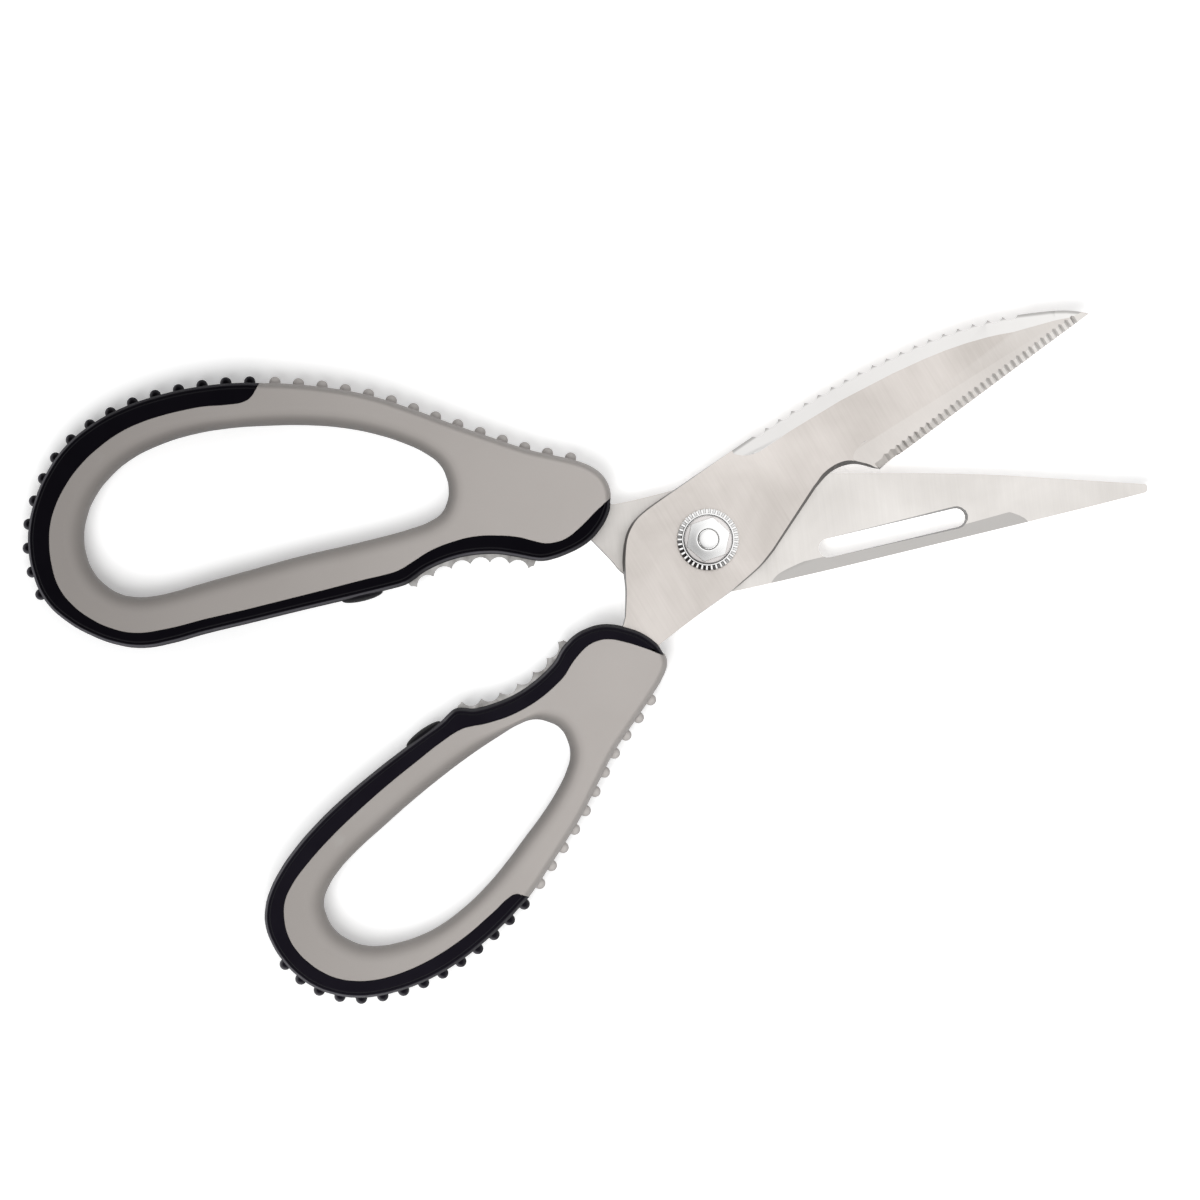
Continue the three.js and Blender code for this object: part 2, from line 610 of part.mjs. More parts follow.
const thumbJaw = { seat: [-47.55, -6.8], facing: 271 };
const thumbArc = (distances, depth) => distances.map((along) => onJaw(thumbJaw, along, depth));
const thumb = moulding({
  outline: [
    [-19, -13], [-23.2, -6.5], [-27.3, -3.5], [-32.6, -2.7], [-36.7, -3.9],
    ...thumbArc([9.1, 4.1, -1.35, -6.8, -10.45], 0),
    [-60.6, -3.1], [-64.2, -3.8], [-75.8, -5], [-90.6, -7.3], [-102.7, -10.8], [-111.5, -15.6],
    [-115.5, -20.8], [-116.2, -28.8], [-113.4, -36.8], [-107.4, -42.7], [-99.6, -45.9], [-90.6, -47.2],
    [-80.9, -46.5], [-68.1, -43.4], [-61.3, -40.3], [-49.8, -34.4], [-37.7, -26.8], [-25.2, -20.9],
    [-19.6, -17.1],
  ],
  opening: [
    [-48.5, -13.1], [-55.8, -12.4], [-70.7, -13.6], [-85.8, -16.2], [-97.2, -19], [-103.1, -22.9],
    [-104.1, -28.9], [-100.6, -34.6], [-94.2, -37.7], [-85.7, -38.9], [-74.4, -37.1], [-62.1, -32.5],
    [-51.7, -27.7], [-45.8, -22.9], [-44.8, -17.4],
  ],
  trimLine: [
    [-14, -18.5], [-19.6, -15], [-21.9, -12.2], [-27.4, -6.8], [-31.4, -5.9], [-36.4, -7.5],
    ...thumbArc([8.15, 3.65, 0, -4.55, -9.1], THUMB_BAND),
    [-61.6, -7.3], [-72.5, -8.2], [-88, -10.8], [-102.4, -14.8], [-109.6, -18.8], [-112.6, -25.4],
    [-111.7, -31.9], [-108.3, -37.5], [-102.6, -41.3], [-95.6, -43.2], [-88.4, -43.7], [-80.8, -43.1],
    [-74.1, -41.8], [-69.1, -41.2], [-64.5, -47],
  ],
  beyond: [[-64.5, -60], [-130, -60], [-130, 20], [-14, 20]],
  jaw: thumbJaw,
  bumper: 56.2,
  coreNubs: { start: 177.3, pitch: 4.3, count: 11 },
  trimNubs: { start: 116.5, pitch: 4.28, count: 14 },
  tang: { outline: serratedOutline, bottom: serratedBottom, pegs: serratedPegs },
});

// Materials

function finish(color, roughness, metalness) {
  return new THREE.MeshStandardMaterial({ color, roughness, metalness });
}

const bladeSteel = finish(0xd6d2cc, 0.32, 1);
const brightSteel = finish(0xd9d9d7, 0.22, 1);
const greyPlastic = finish(0xb0ada6, 0.6, 0);
const softBlack = finish(0x1a181d, 0.7, 0);

function piece(name, body, material) {
  const { numProp, vertProperties, triVerts } = body.getMesh();
  const geometry = new THREE.BufferGeometry();
  const positions = new Float32Array((vertProperties.length / numProp) * 3);
  for (let i = 0; i < positions.length / 3; i++) {
    positions.set(vertProperties.subarray(i * numProp, i * numProp + 3), i * 3);
  }
  geometry.setAttribute("position", new THREE.BufferAttribute(positions, 3));
  geometry.setIndex(new THREE.BufferAttribute(triVerts, 1));
  geometry.computeVertexNormals();
  const mesh = new THREE.Mesh(geometry, material);
  mesh.name = name;
  return mesh;
}

const slottedHalf = new THREE.Group();
slottedHalf.rotation.z = THREE.MathUtils.degToRad(SLOTTED_STANCE);
slottedHalf.add(
  piece("slotted_blade", slottedBlade, bladeSteel),
  piece("pivot_bolt", pivotBolt, brightSteel),
  piece("toothed_washer", toothedWasher, brightSteel),
  piece("disc_spring", discSpring, brightSteel),
  piece("hex_nut", hexNut, brightSteel),
  piece("finger_handle_core", finger.core, greyPlastic),
  piece("finger_handle_trim", finger.trim, softBlack),
  piece("finger_handle_bumper", finger.bumper, softBlack),
  piece("finger_jaw", finger.jaw, bladeSteel),
);

const serratedHalf = new THREE.Group();
serratedHalf.rotation.z = THREE.MathUtils.degToRad(SERRATED_STANCE);
serratedHalf.add(
  piece("serrated_blade", serratedBlade, bladeSteel),
  piece("thumb_handle_core", thumb.core, greyPlastic),
  piece("thumb_handle_trim", thumb.trim, softBlack),
  piece("thumb_handle_bumper", thumb.bumper, softBlack),
  piece("thumb_jaw", thumb.jaw, bladeSteel),
);

const shears = new THREE.Group();
shears.add(slottedHalf, serratedHalf);

export default shears;
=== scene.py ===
from math import atan, cos, pi, radians, sin

import bmesh
import bpy
from mathutils import Matrix, Vector


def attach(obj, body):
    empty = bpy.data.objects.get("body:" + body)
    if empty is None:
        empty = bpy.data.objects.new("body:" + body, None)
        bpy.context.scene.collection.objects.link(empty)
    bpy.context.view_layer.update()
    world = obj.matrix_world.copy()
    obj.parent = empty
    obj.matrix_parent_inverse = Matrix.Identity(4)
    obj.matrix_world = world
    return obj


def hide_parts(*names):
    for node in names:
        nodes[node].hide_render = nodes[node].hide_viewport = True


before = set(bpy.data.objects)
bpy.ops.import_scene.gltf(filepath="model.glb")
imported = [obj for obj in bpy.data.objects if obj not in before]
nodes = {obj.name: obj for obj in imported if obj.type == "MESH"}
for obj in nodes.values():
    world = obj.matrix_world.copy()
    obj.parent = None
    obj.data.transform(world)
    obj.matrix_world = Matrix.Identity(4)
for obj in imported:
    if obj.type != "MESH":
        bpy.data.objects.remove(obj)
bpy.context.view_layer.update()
mm = 0.001
print("frame loaded:", len(nodes), "nodes")


# Node tools

def newTree(name, inputs, outputs):  # an empty shader group with its sockets
    group = bpy.data.node_groups.new(name, "ShaderNodeTree")
    for label, kind, value in inputs:
        socket = group.interface.new_socket(label, in_out="INPUT", socket_type=kind)
        if value is not None:
            socket.default_value = value
    for label, kind in outputs:
        group.interface.new_socket(label, in_out="OUTPUT", socket_type=kind)
    return group, group.nodes.new("NodeGroupInput").outputs, group.nodes.new("NodeGroupOutput").inputs


def addNode(tree, kind, inputs=None, **settings):  # each input is linked to a socket or set to a value
    node = tree.nodes.new(kind)
    for key, value in settings.items():
        setattr(node, key, value)
    for key, value in (inputs or {}).items():
        if isinstance(value, bpy.types.NodeSocket):
            tree.links.new(value, node.inputs[key])
        else:
            node.inputs[key].default_value = value
    return node


def addGroup(tree, group, inputs):
    return addNode(tree, "ShaderNodeGroup", inputs, node_tree=group).outputs


def maths(tree, operation, *values):
    return addNode(tree, "ShaderNodeMath", dict(enumerate(values)), operation=operation).outputs[0]


def dotWith(tree, vector, way):  # how far a vector points one way
    node = addNode(tree, "ShaderNodeVectorMath", {0: vector, 1: way}, operation="DOT_PRODUCT")
    return node.outputs["Value"]


def axis(tree, vector, letter):
    return addNode(tree, "ShaderNodeSeparateXYZ", {0: vector}).outputs[letter]


def painted(tree, name):  # a value that the piece's points carry
    return addNode(tree, "ShaderNodeAttribute", attribute_name=name).outputs["Fac"]


def mixColour(tree, amount, low, high):
    return addNode(tree, "ShaderNodeMix", {0: amount, 6: low, 7: high}, data_type="RGBA").outputs[2]


def spread(tree, value, low, high, toLow=0.0, toHigh=1.0):  # one range onto another, held at its ends
    inputs = {0: value, 1: low, 2: high, 3: toLow, 4: toHigh}
    return addNode(tree, "ShaderNodeMapRange", inputs).outputs[0]


# Shared effects

def makeBrushing():  # fine lines in one direction, as grinding leaves them
    group, given, made = newTree(
        "brushing",
        [("Vector", "NodeSocketVector", None), ("Turn", "NodeSocketVector", (0, 0, 0)),
         ("Across", "NodeSocketFloat", 2600.0), ("Stretch", "NodeSocketFloat", 0.03)],
        [("Lines", "NodeSocketFloat")])
    turned = addNode(group, "ShaderNodeMapping", {"Vector": given["Vector"], "Rotation": given["Turn"]})
    squeeze = addNode(group, "ShaderNodeCombineXYZ", {0: 1.0, 1: given["Stretch"], 2: 1.0})
    drawn = addNode(group, "ShaderNodeVectorMath", {0: turned.outputs[0], 1: squeeze.outputs[0]},
                    operation="MULTIPLY")
    fine = addNode(group, "ShaderNodeTexNoise", {"Vector": drawn.outputs[0], "Scale": given["Across"],
                                                 "Detail": 3.0, "Roughness": 0.65})
    group.links.new(fine.outputs[0], made["Lines"])
    return group


def makeClouds():  # slow change of tone over a surface
    group, given, made = newTree(
        "clouds",
        [("Vector", "NodeSocketVector", None), ("Scale", "NodeSocketFloat", 60.0),
         ("Softness", "NodeSocketFloat", 0.5)],
        [("Tone", "NodeSocketFloat")])
    soft = addNode(group, "ShaderNodeTexNoise", {"Vector": given["Vector"], "Scale": given["Scale"],
                                                 "Detail": 4.0, "Roughness": 0.55, "Distortion": 0.4})
    half = maths(group, "MULTIPLY", given["Softness"], 0.25)
    low, high = maths(group, "SUBTRACT", 0.5, half), maths(group, "ADD", 0.5, half)
    group.links.new(spread(group, soft.outputs[0], low, high), made["Tone"])
    return group


def makeGrain():  # the fine texture of a mould
    group, given, made = newTree(
        "mouldGrain",
        [("Vector", "NodeSocketVector", None), ("Scale", "NodeSocketFloat", 4200.0)],
        [("Height", "NodeSocketFloat")])
    where = {"Vector": given["Vector"], "Scale": given["Scale"]}
    fine = addNode(group, "ShaderNodeTexNoise", {**where, "Detail": 2.0, "Roughness": 0.5})
    cells = addNode(group, "ShaderNodeTexVoronoi", where)
    group.links.new(maths(group, "MULTIPLY", fine.outputs[0], cells.outputs[0]), made["Height"])
    return group


def makeWear():  # where handling polishes an edge that stands out
    group, given, made = newTree(
        "edgeWear",
        [("Vector", "NodeSocketVector", None), ("Start", "NodeSocketFloat", 0.53),
         ("End", "NodeSocketFloat", 0.62), ("Patches", "NodeSocketFloat", 220.0)],
        [("Worn", "NodeSocketFloat")])
    shape = addNode(group, "ShaderNodeNewGeometry")
    edge = spread(group, shape.outputs["Pointiness"], given["Start"], given["End"])
    patch = addNode(group, "ShaderNodeTexNoise",
                    {"Vector": given["Vector"], "Scale": given["Patches"], "Detail": 3.0})
    broken = spread(group, patch.outputs[0], 0.35, 0.65)
    group.links.new(maths(group, "MULTIPLY", edge, broken), made["Worn"])
    return group


brushing = makeBrushing()
clouds = makeClouds()
mouldGrain = makeGrain()
edgeWear = makeWear()
print("shared effects made")


# Materials

def newMaterial(name):
    material = bpy.data.materials.new(name)
    material.use_nodes = True
    tree = material.node_tree
    place = addNode(tree, "ShaderNodeTexCoord").outputs
    return material, tree, tree.nodes["Principled BSDF"], place


def joinShader(tree, shader, colour, roughness, height, bump, depth):
    raised = addNode(tree, "ShaderNodeBump", {"Strength": bump, "Distance": depth, "Height": height})
    tree.links.new(colour, shader.inputs["Base Color"])
    tree.links.new(roughness, shader.inputs["Roughness"])
    tree.links.new(raised.outputs[0], shader.inputs["Normal"])


def lineGroup(tree, point, look):
    inputs = {"Vector": point, "Across": look["across"], "Stretch": look["stretch"]}
    return addGroup(tree, brushing, inputs)["Lines"]


def toneGroup(tree, point, look):
    inputs = {"Vector": point, "Scale": look["toneScale"], "Softness": look["toneSoftness"]}
    return addGroup(tree, clouds, inputs)["Tone"]


def grainGroup(tree, point, scale):
    return addGroup(tree, mouldGrain, {"Vector": point, "Scale": scale})["Height"]


steelLook = {
    "toneScale": 48.0, "toneSoftness": 0.8, "lineShare": 0.4, "toneShare": 0.6,
    "satin": (0.2, 0.8), "rough": (0.42, 0.28), "bump": 0.35, "lineDepth": 0.012 * mm,
    "behind": (-5 * mm, -15 * mm), "handledRough": 2.2,  # painted shade behind the pivot, and rougher there
    "paintedShade": (0.36, 0.345, 0.33, 1),
    "ground": (0.996, 0.985), "wallShade": (0.67, 0.48), "litBevelFacing": (-0.05, 0.05),  # by the slope and facing of a face: ground bevels painted lit or shaded by the way they face, steep walls painted in shade
    "wall": (0.36, 0.345, 0.335, 1), "deepWallShade": (0.07, 0.066, 0.064, 1),  # painted shade on the steep walls, near black where the rim was drawn in
    "tooth": (0.34, 0.33, 0.32, 1),
    "toothShadeHeight": (7.80 * mm, 7.67 * mm),  # painted shade on the tooth tips, low on the spine's slope
}
# spine colours the ground bevels facing +Y as painted light, edge those facing -Y as painted shade
bladeLooks = {
    "slotted": {
        "turn": radians(-6.75), "dull": (0.67, 0.64, 0.61, 1), "clean": (0.84, 0.81, 0.78, 1),
        "spine": (0.80, 0.78, 0.76, 1), "edge": (0.62, 0.60, 0.58, 1), "heel": 0.08, "teeth": 0.0,
    },
    "serrated": {
        "turn": radians(-30.8), "dull": (0.57, 0.53, 0.495, 1), "clean": (0.79, 0.74, 0.705, 1),
        "spine": (0.84, 0.825, 0.81, 1), "edge": (0.78, 0.75, 0.72, 1), "heel": 0.0, "teeth": 0.75,
    },
}


def makeBladeSteel(name, look):  # satin, brushed across; ground bevels painted lit or shaded by the way they face, painted shade on the walls, the tooth tips and behind the pivot
    s = steelLook
    material, tree, shader, place = newMaterial(name)
    point, normal = place["Object"], place["Normal"]
    lines = addGroup(tree, brushing, {"Vector": point, "Turn": (0, 0, look["turn"])})["Lines"]
    tone = spread(tree, toneGroup(tree, point, s), 0, 1, 0, s["toneShare"])
    both = maths(tree, "MULTIPLY_ADD", lines, s["lineShare"], tone)
    # painted shade: the blade darkens behind the pivot, where the front blade's heel shades it
    behind = spread(tree, axis(tree, point, "X"), *s["behind"], 0, look["heel"])
    plain = mixColour(tree, behind, mixColour(tree, both, look["dull"], look["clean"]), s["paintedShade"])
    # painted shade on the spine's tooth tips
    tips = spread(tree, axis(tree, point, "Z"), *s["toothShadeHeight"], 0, look["teeth"])
    slope = mixColour(tree, tips, look["spine"], s["tooth"])
    # painted light and shade on the ground bevels, chosen by which way they face
    ground = mixColour(tree, spread(tree, axis(tree, normal, "Y"), *s["litBevelFacing"]), look["edge"], slope)
    level = maths(tree, "ABSOLUTE", axis(tree, normal, "Z"))
    worked = mixColour(tree, spread(tree, level, *s["ground"]), plain, ground)
    # painted shade on the steep walls, darkest where the attribute marks them
    shadedWall = mixColour(tree, painted(tree, "wallShade"), s["wall"], s["deepWallShade"])
    colour = mixColour(tree, spread(tree, level, *s["wallShade"]), worked, shadedWall)
    satin = spread(tree, both, *s["satin"], *s["rough"])
    roughness = maths(tree, "MULTIPLY_ADD", behind, s["handledRough"], satin)
    joinShader(tree, shader, colour, roughness, lines, s["bump"], s["lineDepth"])
    shader.inputs["Metallic"].default_value = 1.0
    return material


jawLook = {
    "across": 3400.0, "stretch": 0.12, "toneScale": 340.0, "toneSoftness": 0.9,
    "dull": (0.21, 0.20, 0.19, 1), "clean": (0.58, 0.57, 0.56, 1),
    # the steep walls of the teeth are painted dark as shade
    "wall": (0.14, 0.135, 0.13, 1), "wallShade": (0.93, 0.6),
    "satin": (0.3, 0.7), "rough": (0.26, 0.44), "bump": 0.3, "lineDepth": 0.01 * mm,
}


def makeJawSteel():
    s = jawLook
    material, tree, shader, place = newMaterial("jawSteel")
    point, normal = place["Object"], place["Normal"]
    lines = lineGroup(tree, point, s)
    plain = mixColour(tree, toneGroup(tree, point, s), s["dull"], s["clean"])
    level = maths(tree, "ABSOLUTE", axis(tree, normal, "Z"))
    # painted shade on the steep walls
    colour = mixColour(tree, spread(tree, level, *s["wallShade"]), plain, s["wall"])
    roughness = spread(tree, lines, *s["satin"], *s["rough"])
    joinShader(tree, shader, colour, roughness, lines, s["bump"], s["lineDepth"])
    shader.inputs["Metallic"].default_value = 1.0
    return material


pivotLook = {
    "across": 3000.0, "stretch": 0.5, "toneScale": 300.0, "toneSoftness": 1.0,
    "rough": (0.30, 0.18), "bump": 0.15, "lineDepth": 0.006 * mm,
    "gapShade": (0.035, 0.032, 0.032, 1), "sunk": (9.9 * mm, 9.2 * mm),  # painted shade, low between the teeth of the washer and heavier towards one side
    "gapShadeSide": (-0.55, -0.83, 0), "gapShadeReach": (-1 * mm, 4.5 * mm), "gapShadeShare": (0.2, 1.0),
}


def makePivotSteel(name, dull, clean, hasGapShade=False):  # bright turned steel
    s = pivotLook
    material, tree, shader, place = newMaterial(name)
    point = place["Object"]
    lines = lineGroup(tree, point, s)
    tone = toneGroup(tree, point, s)
    colour = mixColour(tree, tone, dull, clean)
    if hasGapShade:
        # painted shade between the washer's teeth, heavier on one side
        sunk = spread(tree, axis(tree, point, "Z"), *s["sunk"])
        oneSidedShade = spread(tree, dotWith(tree, point, s["gapShadeSide"]), *s["gapShadeReach"], *s["gapShadeShare"])
        colour = mixColour(tree, maths(tree, "MULTIPLY", sunk, oneSidedShade), colour, s["gapShade"])
    roughness = spread(tree, tone, 0, 1, *s["rough"])
    joinShader(tree, shader, colour, roughness, lines, s["bump"], s["lineDepth"])
    shader.inputs["Metallic"].default_value = 1.0
    return material


plasticLook = {
    "grainScale": 3600.0, "toneScale": 45.0, "toneSoftness": 1.4,
    "dull": (0.435, 0.404, 0.383, 1), "clean": (0.475, 0.444, 0.423, 1), "worn": (0.48, 0.455, 0.435, 1),
    "paintedShade": (0.17, 0.155, 0.145, 1), "along": (-18 * mm, -128 * mm),  # painted shade, darker towards the far ends of the handles
    # nub: a painted highlight on the grip nubs
    "farShadeMost": 0.68, "nub": (0.66, 0.63, 0.61, 1), "nubMost": 0.5,
    "grime": (0.04, 0.036, 0.034, 1), "wall": (0.4, 0.95), "wallMost": 0.42,  # painted shade down in the openings, heavier on walls facing away from +X and +Y
    "deep": (0.97, 1), "deepMost": 0.38, "grimeSide": (0.7, 0.7, 0),
    "aside": (-0.4, 0.4), "grimeShare": (1.25, 0.0),
    "grain": (0.0, 0.5), "rough": (0.62, 0.48), "bump": 0.35, "grainDepth": 0.03 * mm, "sheen": 0.35,
}


def makeGreyPlastic():
    s = plasticLook
    material, tree, shader, place = newMaterial("greyPlastic")
    point, normal = place["Object"], place["Normal"]
    grain = grainGroup(tree, point, s["grainScale"])
    plain = mixColour(tree, toneGroup(tree, point, s), s["dull"], s["clean"])
    worn = mixColour(tree, addGroup(tree, edgeWear, {"Vector": point})["Worn"], plain, s["worn"])
    # painted shade, darker towards the far ends of the handles
    end = spread(tree, axis(tree, point, "X"), *s["along"], 0, s["farShadeMost"])
    paintedShade = mixColour(tree, end, worn, s["paintedShade"])
    # painted highlight on the nubs
    paintedLight = mixColour(tree, spread(tree, painted(tree, "nub"), 0, 1, 0, s["nubMost"]), paintedShade, s["nub"])
    # painted shade down in the openings, heavier on walls facing away from +X and +Y
    inner = painted(tree, "inner")
    depth = maths(tree, "ADD", spread(tree, inner, *s["wall"], 0, s["wallMost"]),
                  spread(tree, inner, *s["deep"], 0, s["deepMost"]))
    share = spread(tree, dotWith(tree, normal, s["grimeSide"]), *s["aside"], *s["grimeShare"])
    colour = mixColour(tree, maths(tree, "MULTIPLY", depth, share), paintedLight, s["grime"])
    roughness = spread(tree, grain, *s["grain"], *s["rough"])
    joinShader(tree, shader, colour, roughness, grain, s["bump"], s["grainDepth"])
    shader.inputs["Specular IOR Level"].default_value = s["sheen"]
    return material


softLook = {
    "toneScale": 120.0, "toneSoftness": 1.2, "deep": (0.7, 0.57, 1.0), "pale": (1.2, 1.03, 1.6),
    "side": (0.95, 0.35), "bend": (0.95, 0.5), "bendEnd": (0.04, 0.3),
    "light": (-0.85, -0.5, 0), "aside": (-0.05, 0.35), "lightShare": (0.25, 1.0),
    "middle": 6 * mm, "fromMiddle": (5.6 * mm, 5.45 * mm),
    "sideRough": 0.2, "grain": (0.0, 0.5), "rough": (0.52, 0.40), "bump": 0.35, "grainDepth": 0.03 * mm,
}
# wall is painted sheen on the steep sides, bead the painted light on the rounded bead
softKinds = {
    "fingerTrim": {"grainScale": 3000.0, "sheen": 0.02, "tone": 0.0028,
                   "wall": (0.020, 0.019, 0.022, 1), "bead": (0.13, 0.126, 0.14, 1)},
    "thumbTrim": {"grainScale": 3000.0, "sheen": 0.04, "tone": 0.0072,
                  "wall": (0.024, 0.023, 0.027, 1), "bead": (0.15, 0.146, 0.16, 1)},
    "bumperRubber": {"grainScale": 2400.0, "sheen": 0.07, "tone": 0.0045,
                     "wall": (0.011, 0.0105, 0.012, 1), "bead": (0.009, 0.0085, 0.01, 1)},
}


def makeSoftBlack(name):  # dark face, a rougher wall lightened as painted sheen, and a bead between painted pale as light falling on it
    s, kind = softLook, softKinds[name]
    material, tree, shader, place = newMaterial(name)
    point, normal = place["Object"], place["Normal"]
    grain = grainGroup(tree, point, kind["grainScale"])
    deep, pale = ([kind["tone"] * share for share in s[end]] + [1] for end in ("deep", "pale"))
    face = mixColour(tree, toneGroup(tree, point, s), deep, pale)
    level = maths(tree, "ABSOLUTE", axis(tree, normal, "Z"))
    side = spread(tree, level, *s["side"])
    bent = maths(tree, "MULTIPLY", spread(tree, level, *s["bend"]), spread(tree, level, *s["bendEnd"]))
    height = maths(tree, "SUBTRACT", axis(tree, point, "Z"), s["middle"])
    below = spread(tree, maths(tree, "ABSOLUTE", height), *s["fromMiddle"])
    lit = spread(tree, dotWith(tree, normal, s["light"]), *s["aside"], *s["lightShare"])
    paintedLight = maths(tree, "MULTIPLY", bent, maths(tree, "MULTIPLY", below, lit))
    # painted sheen on the wall and painted light on the bead
    colour = mixColour(tree, paintedLight, mixColour(tree, side, face, kind["wall"]), kind["bead"])
    grained = spread(tree, grain, *s["grain"], *s["rough"])
    roughness = maths(tree, "MULTIPLY_ADD", side, s["sideRough"], grained)
    joinShader(tree, shader, colour, roughness, grain, s["bump"], s["grainDepth"])
    shader.inputs["Specular IOR Level"].default_value = kind["sheen"]
    return material


slottedSteel = makeBladeSteel("slottedBladeSteel", bladeLooks["slotted"])
serratedSteel = makeBladeSteel("serratedBladeSteel", bladeLooks["serrated"])
jawSteel = makeJawSteel()
pivotSteel = makePivotSteel("pivotSteel", (0.96, 0.955, 0.95, 1), (0.99, 0.99, 0.985, 1))
springSteel = makePivotSteel("springSteel", (0.66, 0.63, 0.62, 1), (0.76, 0.73, 0.72, 1))
washerSteel = makePivotSteel("washerSteel", (0.94, 0.935, 0.93, 1), (0.99, 0.985, 0.98, 1), hasGapShade=True)
greyPlastic = makeGreyPlastic()
softTrim = {side: makeSoftBlack(side + "Trim") for side in ("finger", "thumb")}
bumperRubber = makeSoftBlack("bumperRubber")
print("materials made")


# Mesh tools

weld = {"shell": 0.002 * mm, "piece": 0.001 * mm, "spun": 0.0005 * mm}  # points closer than this are one


def nodeShell(name):  # a CAD node's triangles as one closed shell
    bm = bmesh.new()
    bm.from_mesh(nodes[name].data)
    bmesh.ops.remove_doubles(bm, verts=bm.verts, dist=weld["shell"])
    bm.normal_update()
    return bm


def finishPiece(bm, name, body, material, node, sharp=38):
    bmesh.ops.remove_doubles(bm, verts=bm.verts, dist=weld["piece"])
    bmesh.ops.recalc_face_normals(bm, faces=bm.faces)
    mesh = bpy.data.meshes.new(name)
    bm.to_mesh(mesh)
    bm.free()
    mesh.shade_smooth()
    mesh.set_sharp_from_angle(angle=radians(sharp))
    mesh.materials.append(material)
    piece = bpy.data.objects.new(name, mesh)
    bpy.context.scene.collection.objects.link(piece)
    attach(piece, body)
    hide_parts(node)
    print("made", name, "with", len(mesh.polygons), "faces")


def smoothLine(points, closed, cuts):  # finer points on a smooth curve through the given ones
    curve = bpy.data.curves.new("guide", "CURVE")
    curve.dimensions = "3D"
    curve.resolution_u = cuts
    spline = curve.splines.new("BEZIER")
    spline.bezier_points.add(len(points) - 1)
    spline.use_cyclic_u = closed
    for knot, point in zip(spline.bezier_points, points):
        knot.co = point
        knot.handle_left_type = "AUTO"
        knot.handle_right_type = "AUTO"
    guide = bpy.data.objects.new("guide", curve)
    bpy.context.scene.collection.objects.link(guide)
    bpy.context.view_layer.update()
    drawn = guide.evaluated_get(bpy.context.evaluated_depsgraph_get())
    line = [v.co.copy() for v in drawn.to_mesh().vertices]
    drawn.to_mesh_clear()
    bpy.data.objects.remove(guide)
    bpy.data.curves.remove(curve)
    return line


def spinProfile(bm, profile, place, steps):  # turns points of radius and height about the Z of a place
    verts = [bm.verts.new((radius, 0, height)) for radius, height in profile]
    edges = [bm.edges.new(pair) for pair in zip(verts, verts[1:])]
    made = bmesh.ops.spin(bm, geom=verts + edges, cent=(0, 0, 0), axis=(0, 0, 1), angle=2 * pi,
                          steps=steps, use_merge=True)
    grown = [v for v in made["geom_last"] if isinstance(v, bmesh.types.BMVert)]
    known = set(grown)
    for vert in grown:  # the list grows by its neighbours, until the whole turned skin is in it
        for edge in vert.link_edges:
            other = edge.other_vert(vert)
            if other not in known:
                known.add(other)
                grown.append(other)
    bmesh.ops.remove_doubles(bm, verts=grown, dist=weld["spun"])
    turned = [v for v in grown if v.is_valid]
    bmesh.ops.transform(bm, matrix=place, verts=turned)
    return turned


def standOn(point, outward):  # a place whose Z points out of a side
    return Matrix.Translation(point) @ outward.to_track_quat("Z", "Y").to_matrix().to_4x4()


# Handles: the lines round the front face of the CAD node, drawn smooth and rolled over to the middle

handleShape = {
    "sideBulge": 1.4 * mm, "openingRound": 1.9 * mm, "sideDepth": 5 * mm,  # as moulded in the CAD nodes
    "faceLevel": 0.99, "faceGap": 0.01 * mm, "seamSlope": 0.1, "openingSlope": 0.7,  # tells faces apart
    "seamRound": 0.12 * mm, "seamClose": 0.15 * mm, "flatStrip": 0.25 * mm,
    "tongue": 1.1 * mm, "tongueDepth": 1.2 * mm, "tongueNeck": 0.7,
    "openingSpread": 1.7 * mm, "openingSpare": 1.4 * mm, "openingNarrow": 1.0 * mm, "evenPasses": 12,
    "tipRelief": 0.2 * mm, "tipReach": 1.6 * mm, "leastLean": 0.85,
    "rollSteps": 12, "lowerSteps": 3, "lineCuts": 5, "leastStep": 1.0 * mm,
    # the trim's side: a crease at the rim, then a round bead, as shares of the bulge and depth in mm
    "bead": ((0, 0), (0.04, 0.03), (0.09, 0.14), (0.14, 0.34), (0.20, 0.46), (0.27, 0.40), (0.37, 0.36),
             (0.50, 0.42), (0.63, 0.62), (0.75, 0.95), (0.86, 1.5), (0.94, 2.4), (1, 5)),
}
nubShape = {
    "radius": 1.15 * mm, "height": 1.3 * mm, "foot": 0.35 * mm, "footFlare": 0.7, "footFrom": 0.6,
    "sunk": 0.5 * mm, "rows": 6, "sides": 16, "leastFall": 0.2 * mm, "midGap": 0.01 * mm,
}
upward = Vector((0, 0, 1))


def rimEdges(bm, top):  # what kind of wall lies under each edge of the front face, and the way out there
    s = handleShape
    front = {f for f in bm.faces
             if f.normal.z > s["faceLevel"] and f.calc_center_median().z > top - s["faceGap"]}
    kinds, outs = {}, {}
    for face in (f for f in bm.faces if f in front):
        for edge in face.edges:
            walls = [f for f in edge.link_faces if f not in front]
            if walls:
                slope = walls[0].normal.z
                steep = "opening" if slope > s["openingSlope"] else "side"
                kinds[edge] = "seam" if abs(slope) < s["seamSlope"] else steep
                start, end = (v.co for v in edge.verts)
                across = (end - start).normalized().cross(upward)
                inside = face.calc_center_median() - (start + end) / 2
                outs[edge] = -across if across.dot(inside) > 0 else across
    return kinds, outs


